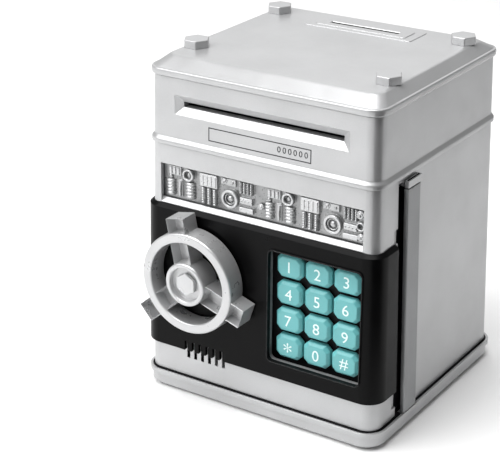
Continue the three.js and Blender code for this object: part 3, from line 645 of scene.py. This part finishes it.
def upper_housing():
    bm = bmesh.new()
    top = RIM_Z - 0.4
    rows = wall_rows([
        (-WALL, SEAM_Z, 0),
        (BEAD, SEAM_Z, 0.7),
        (BEAD, SEAM_Z + 2.2, 0.7),
        (0, SEAM_Z + 4, 0.5),
        (0, top, 0),
        (-WALL, top, 0),
    ])
    loft_up(bm, rows, 10, closed=True)
    piece = finish_mesh(bm, "upper_casing_look", [silver], "casing", ["upper_housing"])
    middle = (BEZEL[1] + BEZEL[2]) / 2
    half_z = (BEZEL[2] - BEZEL[1]) / 2 - 0.03
    sections = [(BEZEL[0] - 0.03, half_z, 0.35, y) for y in (-80, -50)]
    cut(piece, lambda b: loft_back(b, sections, 4, (0, middle)))


def bill_bezel():
    bm = bmesh.new()
    middle = (BEZEL[1] + BEZEL[2]) / 2
    low, high = SLOT[1] - middle, SLOT[2] - middle
    face = front_y(middle)

    def loop(half_x, z_low, z_high, radius, y):
        centre = (z_low + z_high) / 2
        points = ring_points(half_x, (z_high - z_low) / 2, radius, 4)
        return [(a, y, middle + centre + b) for a, b in points]

    half_z = (BEZEL[2] - BEZEL[1]) / 2
    spec = rounded_run([
        (BEZEL[0], -half_z, half_z, 0.35, -56.5, 0),
        (BEZEL[0], -half_z, half_z, 0.35, face - 0.04, 0),
        (BEZEL[0] - 0.12, -half_z + 0.12, half_z - 0.12, 0.35, face - 0.04, 0),
        (SLOT[0], low, high, 0.2, face + 2.5, 0.1),
        (SLOT[0], low, high, 0.2, -56.5, 0),
    ], 3)
    skin(bm, [loop(*s) for s in spec], closed=True)
    lean(bm, middle)
    finish_mesh(bm, "bill_slot_bezel_look", [silver], "casing", ["bill_slot_bezel"])


def value_label():
    """A thin printed box with generic zeros under the bill slot."""
    bm = bmesh.new()
    y = front_y(LABEL_Z) - 0.03
    x0, x1, z0, z1, line = -30.0, 30.0, 145.9, 153.1, 0.55
    for low, high in (
        ((x0, z0), (x1, z0 + line)),
        ((x0, z1 - line), (x1, z1)),
        ((x0, z0), (x0 + line, z1)),
        ((x1 - line, z0), (x1, z1)),
    ):
        block(bm, (low[0], y - 0.02, low[1]), (high[0], y + 0.25, high[1]), 0.015, 1)
    for i in range(6):
        glyphs(bm, "0", 4.4, (x1 - 2.9 - i * 3.1, (z0 + z1) / 2 + 0.2), y, 0.16)
    lean(bm, LABEL_Z)
    finish_mesh(bm, "value_label", [label_black], "casing", ())


# ------------------------------------------------------------------ door


def in_well(a, b, y_front):
    def edge(p):
        return abs(p.x - PAD_X) < WELL[0] + 0.4 and abs(p.z - PAD_Z) < WELL[1] + 0.4 and p.x > 0

    return edge(a) and edge(b) and a.y < y_front and b.y < y_front


def door_shell():
    shell = soften("door_shell", "door", silver, [])

    def slots(c, face):
        return -58 < c.x < -28 and 17 < c.z < 27.5 and c.y < -60 and face.normal.y > -0.5

    paint_faces(shell, inner_black, slots)


def fascia_panel():
    def well(a, b):
        return in_well(a, b, -66)

    def upper_ledge(a, b):
        return min(a.z, b.z) > 104.6 and max(a.y, b.y) < -46.8

    def lower(a, b):
        return max(a.z, b.z) < 26.7 and min((a.xy).length, (b.xy).length) > 66.5

    def vents(a, b):
        in_row = all(-45 < p.x < -19 for p in (a, b))
        return in_row and max(a.z, b.z) < 33 and max(a.y, b.y) < -67.5

    def ends(a, b):
        return a.y > -46.7 and b.y > -46.7 and abs(a.z - b.z) > 20

    rules = [(well, 0.7), (upper_ledge, 0.35), (lower, 0.5), (ends, 0.6), (vents, 0.25)]
    soften("fascia_panel", "door", black, rules)


def well_rim():
    """A near-black ring round the keypad well, whose lighter edges are a painted highlight line."""
    bm = bmesh.new()
    y = -69.0
    rows = rounded_run([
        (WELL[0] + 0.05, WELL[1] + 0.05, WELL[2], 3.4, 0),
        (WELL[0] + 0.05, WELL[1] + 0.05, WELL[2], 0.6, 0.2),
        (WELL[0] - 0.45, WELL[1] - 0.45, WELL[2] - 0.4, 0.6, 0.2),
        (WELL[0] - 0.45, WELL[1] - 0.45, WELL[2] - 0.4, 3.4, 0),
    ], 3)
    rows = [(r[0], r[1], r[2], y + r[3]) for r in rows]
    loft_back(bm, rows, 6, (PAD_X, PAD_Z), closed=True)
    lean(bm, PAD_Z)
    finish_mesh(bm, "keypad_well_rim", [rim_grey], "door", ())


def relief():
    """Cast machine shapes behind the door's window: coils, rings, finned blocks and spirals."""
    bm = bmesh.new()
    face, top = -61.0, -63.4
    block(bm, (-61.4, face, 108), (61.4, -59.2, 131), 0.2)

    def coil(x, z, radius, tall, ribs):
        rib = tall / ribs
        profile = [(0.02, z)]
        for i in range(ribs):
            for k in range(5):
                t = k / 4
                profile.append((radius * (0.8 + 0.2 * math.sin(math.pi * t)), z + rib * (i + t)))
        profile.append((0.02, z + tall))
        lathe(bm, profile, (x, face, 0), 28, "Z", 2.4 / radius)

    def ring(x, z, radius, wide, rise=0.0):
        profile = rounded_run([
            (radius, face + 0.4, 0),
            (radius, top - rise, 0.5),
            (radius - wide, top - rise, 0.4),
            (radius - wide, face + 0.4, 0),
        ], 4)
        lathe(bm, [(p[0], p[1]) for p in profile], (x, 0, z), 40)

    def knob(x, z, radius, rise):
        profile = [(0.02, face + 0.4), (radius, face + 0.4)]
        for k in range(6):
            a = math.pi / 2 * k / 5
            profile.append((radius * math.cos(a), face - rise * math.sin(a)))
        profile[-1] = (0.02, face - rise)
        lathe(bm, profile, (x, 0, z), 24)

    def plate(x0, x1, z0, z1, rise, soft=0.3):
        block(bm, (x0, face - rise, z0), (x1, face + 0.4, z1), soft, 3)

    def pipe(points, radius):
        centres = [Vector((x, face - rise, z)) for x, z, rise in points]
        loops = []
        for i, c in enumerate(centres):
            along = (centres[min(i + 1, len(centres) - 1)] - centres[max(i - 1, 0)]).normalized()
            across = along.cross(Vector((0, 1, 0))).normalized()
            up = across.cross(along)
            angles = [math.tau * k / 10 for k in range(10)]
            loops.append([c + radius * (math.cos(a) * across + math.sin(a) * up) for a in angles])
        skin(bm, loops)

    def spiral(x, z, radius, turns=2.2):
        points = []
        for k in range(44):
            t = k / 43
            a = math.tau * turns * t
            r = radius * (1 - 0.8 * t)
            points.append((x + r * math.cos(a), z + r * math.sin(a), 1.0 + 0.6 * t))
        pipe(points, 0.62)
        knob(x, z, radius * 0.25, 2.2)

    for shift in (-60, 0):
        coil(shift + 5, 111.6, 2.9, 8.6, 5)
        knob(shift + 5, 121.6, 1.5, 1.5)
        coil(shift + 17, 111.6, 3.3, 8.8, 5)
        ring(shift + 16.5, 124.4, 3.4, 1.2)
        knob(shift + 16.5, 124.4, 1.5, 1.6)
        plate(shift + 4.0, shift + 11.8, 122.6, 127.6, 1.2)
        for i in range(3):
            plate(shift + 4.8 + 2.3 * i, shift + 6.2 + 2.3 * i, 123.2, 127.0, 1.9, 0.25)
        plate(shift + 9.4, shift + 12.4, 111.4, 121.0, 0.9)
        pipe([(shift + 11, 112, 1.2), (shift + 11, 116, 1.6), (shift + 11.4, 120, 1.4)], 0.7)
        plate(shift + 23.6, shift + 34.4, 120.4, 127.6, 2.0, 0.6)
        for i in range(4):
            plate(shift + 24.8 + i * 2.5, shift + 26.2 + i * 2.5, 121.4, 126.6, 2.38, 0.2)
        for i in range(3):
            coil(shift + 25.6 + i * 3.5, 111.2, 1.35, 8.8, 7)
        ring(shift + 42, 117, 5, 1.5)
        ring(shift + 42, 117, 3.1, 0.6, -0.7)
        knob(shift + 42, 117, 2.1, 2.0)
        plate(shift + 36.2, shift + 45.4, 123.8, 127.6, 1.3, 0.4)
        spiral(shift + 38.6, 125.7, 1.6, 1.6)
        knob(shift + 43.4, 125.7, 1.2, 2.1)
        for i in range(4):
            coil(shift + 48.6 + i * 2.1, 121.4, 0.9, 6.4, 5)
        plate(shift + 48, shift + 55.4, 115.9, 119.4, 1.7, 0.4)
        plate(shift + 47.6, shift + 56, 111.4, 114.2, 1.9, 0.4)
        for i in range(4):
            knob(shift + 49.2 + i * 1.9, 117.6, 0.6, 2.35)
    ring(57.6, 119.4, 2.3, 0.8)
    spiral(57.0, 125.0, 2.2, 1.8)
    spiral(57.6, 113.4, 1.9, 1.8)
    spiral(0.4, 116.5, 1.5, 1.5)
    nodes = ["relief_plate"]
    finish_mesh(bm, "relief_plate_look", [relief_silver], "door", nodes, 40, 1e-5)


def key_cap(bm, x, z, face):
    """One key: its stem, its flat back and its bevelled cap, seen from the front as an octagon."""

    def octagon(half_x, half_z, corner, y):
        right = [
            (half_x - corner, -half_z),
            (half_x, -half_z + corner),
            (half_x, half_z - corner),
            (half_x - corner, half_z),
        ]
        left = [(-a, b) for a, b in reversed(right)]
        return [(x + a, y, z + b) for a, b in right + left]

    rows = skin(bm, [
        octagon(5.6, 4.2, 1.0, KEY_STEM_Y),
        octagon(5.6, 4.2, 1.0, KEY_BACK_Y),
        octagon(7.7, 6.4, 2.6, KEY_BACK_Y),
        octagon(7.7, 6.4, 2.6, face + 1.6),
        octagon(6.2, 5.0, 2.1, face),
    ])
    shoulder, rim = rows[3], rows[4]
    level = [e for row in (rim, shoulder) for e in bm.edges if e.verts[0] in row and e.verts[1] in row]
    rising = [e for e in bm.edges if (e.verts[0] in shoulder) != (e.verts[1] in shoulder)]
    rising = [e for e in rising if e.verts[0] in rim or e.verts[1] in rim]
    bmesh.ops.bevel(bm, geom=level + rising, offset=0.4, segments=3, profile=0.5, affect="EDGES")


def keys():
    names = {"*": "star", "#": "hash"}
    for i, text in enumerate("123456789*0#"):
        row, column = divmod(i, 3)
        x, z = PAD_X + (column - 1) * KEY_PITCH_X, PAD_Z + (1.5 - row) * KEY_PITCH_Z
        face = front_y(z, FASCIA) + 2.5
        bm = bmesh.new()
        key_cap(bm, x, z, face)
        glyphs(bm, text, 12.0 if text == "*" else 8.6, (x, z), face - 0.02, 0.08, 1)
        node = "key_" + names.get(text, text)
        finish_mesh(bm, node + "_look", [aqua, digit_white], node + "_button", [node], 40)


# ------------------------------------------------------------------ wheel handle


def wheel():
    x, z = WHEEL
    front, rear = WHEEL_FRONT, WHEEL_REAR
    outer, inner = 27.5, 22.3
    bm = bmesh.new()
    ring = rounded_run([
        (outer, rear, 0.5),
        (outer, front, 1.2),
        (inner, front, 1.0),
        (inner, rear, 0.5),
    ], 5, closed=True)
    lathe(bm, [(p[0], p[1]) for p in ring], (x, 0, z), 112)
    hub = rounded_run([
        (0.02, rear, 0),
        (11.8, rear, 0.4),
        (11.8, front - 1.5, 1.3),
        (9.2, front - 1.5, 0.9),
        (8.9, front + 1.6, 0.3),
        (0.02, front + 1.6, 0),
    ], 5)
    lathe(bm, [(p[0], p[1]) for p in hub], (x, 0, z), 72)
    nodes = ["wheel_handle"]
    piece = finish_mesh(bm, "wheel_handle_look", [bright], "wheel", nodes, 35, 1e-5)

    def arm(b, angle):
        block(b, (10.3, front + 0.35, -5.3), (35.2, rear - 0.05, 5.3))
        face = min(b.faces, key=lambda f: f.calc_center_median().y)
        bmesh.ops.inset_region(b, faces=[face], thickness=1.1, use_even_offset=True)
        for v in face.verts:
            v.co.y += 6.0
        bmesh.ops.bevel(b, geom=list(b.edges), offset=0.22, segments=2, profile=0.5, affect="EDGES")
        b.transform(Matrix.Translation((x, 0, z)) @ Matrix.Rotation(-math.radians(angle), 4, "Y"))

    for angle in (-19, 101, 221):
        combine(piece, lambda b: arm(b, angle), "UNION")

    bm = bmesh.new()
    corners = hexagon(x, z, HUB_BOLT_R, 0.5)
    rows = skin(bm, [[(a, level, b) for a, b in corners] for level in (front + 1.3, front - 0.6)])
    round_edges(bm, rows, 0.4)
    finish_mesh(bm, "wheel_hub_bolt_look", [bright], "wheel", ["wheel_hub_bolt"])


# ------------------------------------------------------------------ base and hinge


def base_tray():
    def outline(a, b, half):
        return all(max(abs(p.x) / half[0], abs(p.y) / half[1]) > 0.97 for p in (a, b))

    def lip(a, b):
        return min(a.z, b.z) > 10.25 and max(a.z, b.z) < 10.35 and outline(a, b, LIP_INNER)

    def bead(a, b):
        return all(abs(p.z - 7.8) < 0.05 for p in (a, b)) and outline(a, b, LIP_OUTER)

    def bevel(a, b):
        return abs(a.z - b.z) < 0.05 and (a.z < 0.05 or 2.25 < a.z < 2.45) and outline(a, b, FOOT)

    tray = soften("base_tray", "casing", silver, [(lip, 0.55), (bead, 0.4), (bevel, 1.0)])

    def groove(c, face):
        points = [tray.data.vertices[i].co / MM for i in face.vertices]
        heights = [p.z for p in points]
        reach = [max(abs(p.x) / LIP_INNER[0], abs(p.y) / LIP_INNER[1]) for p in points]
        return 8.55 < min(heights) and max(heights) < 10.22 and 0.95 < min(reach) and max(reach) < 1.002

    paint_faces(tray, inner_black, groove)

    # A dark band in the groove: painted shade over the plateau top under the casing's gap, which shows as a
    # line between the casing and the tray's lip.
    bm = bmesh.new()
    shade_lining = wall_rows([(-4, 10.1, 0), (0.15, 8.7, 0), (0.15, 10.23, 0), (-4, 10.23, 0)])
    loft_up(bm, shade_lining, 10, closed=True)
    finish_mesh(bm, "base_groove_shade_lining", [inner_black], "casing")


def hinge():
    def lengthwise(a, b):
        return abs(a.z - b.z) > 60 and a.y < -30 and b.y < -30

    def ends(a, b):
        return abs(a.z - b.z) < 0.4 and (a - b).length > 1.2

    def cap_edges(a, b):
        return min(a.z, b.z) > 133

    def socket_edges(a, b):
        return max(a.z, b.z) < 11

    def hollow(c, face):
        out = c.x - HALF_X - spread(c.z)
        return 134.2 < c.z < 136.9 and 0.8 < out < 2.1 and -38.1 < c.y < -25.6

    soften("hinge_bar", "door", hinge_grey, [(lengthwise, 0.55), (ends, 0.3)])
    cap = soften("hinge_bracket_top", "casing", silver, [(cap_edges, 0.15)])
    paint_faces(cap, inner_black, hollow)
    soften("hinge_bracket_bottom", "casing", silver, [(socket_edges, 0.25)])


def main_housing():
    def door_edge(a, b):
        return abs(a.z - b.z) > 100 and max(a.y, b.y) < -20

    soften("main_housing", "casing", silver, [(door_edge, 0.4)])


# ------------------------------------------------------------------ all of it

top_lid()
lid_bolts()
upper_housing()
bill_bezel()
value_label()
door_shell()
fascia_panel()
well_rim()
relief()
keys()
wheel()
base_tray()
hinge()
main_housing()

carried = {
    silver: ("base_plate", "battery_cover"),
    inner_black: (
        "feed_platform", "bill_guide_lower", "bill_guide_upper", "bill_deflector", "coin_chute",
        "keypad_plate", "speaker", "hinge_leaf",
    ),
    cover_grey: ("door_back_cover",),
    rubber: ("feed_roller", "keypad_mat"),
    board_green: ("main_board", "keypad_board"),
    nylon: ("feed_gear", "motor_pinion", "pinch_roller"),
    cells: ("battery_1", "battery_2", "battery_3"),
    steel: (
        "battery_cover_screw", "battery_contact_left", "battery_contact_right", "feed_motor", "feed_axle",
        "wheel_shaft", "latch_cam", "latch_strike", "lock_solenoid", "lock_plunger",
    ),
}
for mat, names in carried.items():
    for name in names:
        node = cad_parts[name]
        node.data.materials.clear()
        node.data.materials.append(mat)

floor_mesh = bpy.data.meshes.new("floor")
floor_corners = [(x, y, -0.0002) for x, y in ((-4, -4), (4, -4), (4, 4), (-4, 4))]
floor_mesh.from_pydata(floor_corners, [], [(0, 1, 2, 3)])
floor_mesh.materials.append(floor_material())
floor = bpy.data.objects.new("floor", floor_mesh)
bpy.context.scene.collection.objects.link(floor)

# A dark card at the right front, which darkens what the bright metal there mirrors. The camera can't see it.
CARD_R, CARD_TALL = 0.2, 0.32
card_mesh = bpy.data.meshes.new("dark_card")
arc = [math.radians(38 + 4 * i) for i in range(11)]
card_points = [
    (CARD_R * math.sin(a), -CARD_R * math.cos(a), level) for level in (0.0, CARD_TALL) for a in arc
]
card_mesh.from_pydata(card_points, [], [(i, i + 1, i + 12, i + 11) for i in range(10)])
card_mesh.materials.append(inner_black)
card = bpy.data.objects.new("dark_card", card_mesh)
bpy.context.scene.collection.objects.link(card)
card.visible_camera = card.visible_shadow = False

world = bpy.data.worlds.new("studio")
bpy.context.scene.world = world
world.use_nodes = True
tree = world.node_tree
background = tree.nodes["Background"]
background.inputs["Strength"].default_value = 0.33
direction = tree.nodes.new("ShaderNodeTexCoord")
dark_side = tree.nodes.new("ShaderNodeVectorMath")
dark_side.operation = "DOT_PRODUCT"
dark_side.inputs[1].default_value = (math.sin(math.radians(56)), -math.cos(math.radians(56)), 0)
fade = tree.nodes.new("ShaderNodeMapRange")
fade.inputs["From Min"].default_value = 0.35
fade.inputs["From Max"].default_value = 0.95
fade.inputs["To Min"].default_value = 1.0
fade.inputs["To Max"].default_value = 0.1
tree.links.new(direction.outputs["Generated"], dark_side.inputs[0])
tree.links.new(dark_side.outputs["Value"], fade.inputs["Value"])
tree.links.new(fade.outputs["Result"], background.inputs["Color"])
